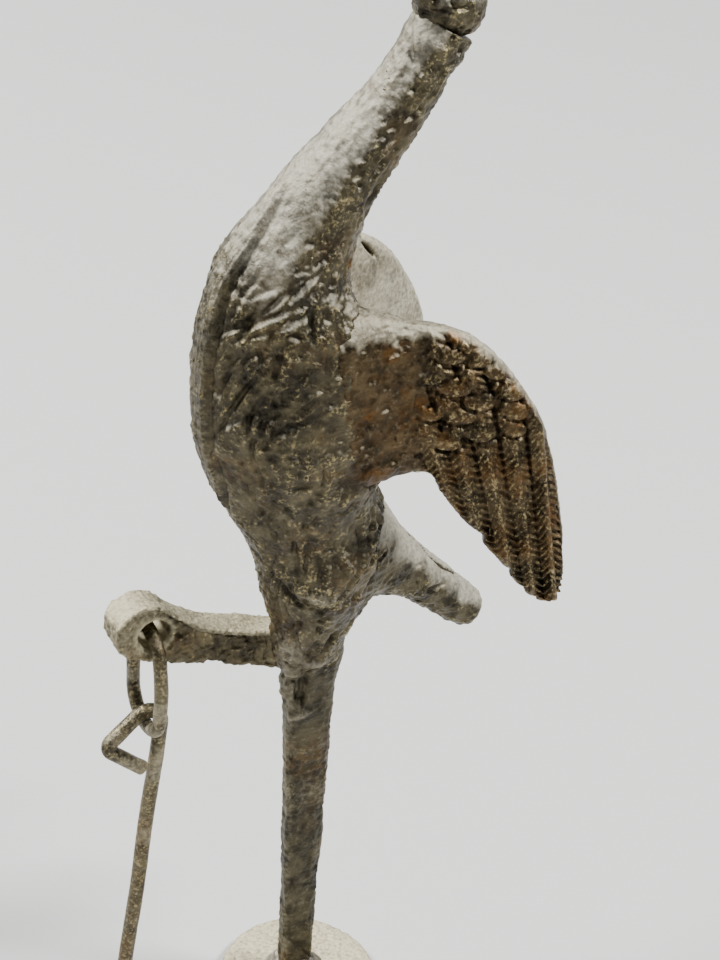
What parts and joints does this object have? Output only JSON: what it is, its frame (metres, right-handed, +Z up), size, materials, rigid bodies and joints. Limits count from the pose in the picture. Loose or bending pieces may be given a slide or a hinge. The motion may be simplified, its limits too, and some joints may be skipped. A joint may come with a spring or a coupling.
{
  "type": "cast bronze bird ornament",
  "caption": "Small cast bronze wading bird standing on one leg, with a wire link and pin swinging from its raised foot.",
  "frame": {"origin": "centre of the flat underside of the round foot", "axes": "+Z is up, +X points to the bird's back and tail, +Y points to its right wing"},
  "size_m": [0.0442, 0.0258, 0.1287],
  "materials": {
    "cast_bronze": "rough as-cast bronze with dark brown patina and pale dust",
    "wing_bronze": "cast feather relief with warm brown patina",
    "leg_bronze": "filed bar with dark patina",
    "worn_bronze": "worn bronze with pale cream patina",
    "solder": "dull grey soft solder",
    "wire": "hand-bent wire with tan patina"
  },
  "bodies": {
    "bird": {"body_casting": "cast_bronze", "head": "cast_bronze", "left_wing": "wing_bronze", "right_wing": "wing_bronze", "tail": "cast_bronze", "standing_leg": "leg_bronze", "foot_disc": "worn_bronze", "foot_solder": "solder", "raised_leg": "worn_bronze"},
    "link": {"hanging_link": "wire"},
    "pin": {"hanging_pin": "wire"}
  },
  "joints": [
    {"name": "link_swing", "type": "hinge", "parent": "bird", "child": "link", "pos_m": [-0.0175, 0.0032, 0.0546], "axis": [0, 1, 0], "range_deg": [-35, 120]},
    {"name": "pin_swing", "type": "hinge", "parent": "link", "child": "pin", "pos_m": [-0.0175, 0.0032, 0.0417], "axis": [0, 1, 0], "range_deg": [-40, 55]}
  ]
}
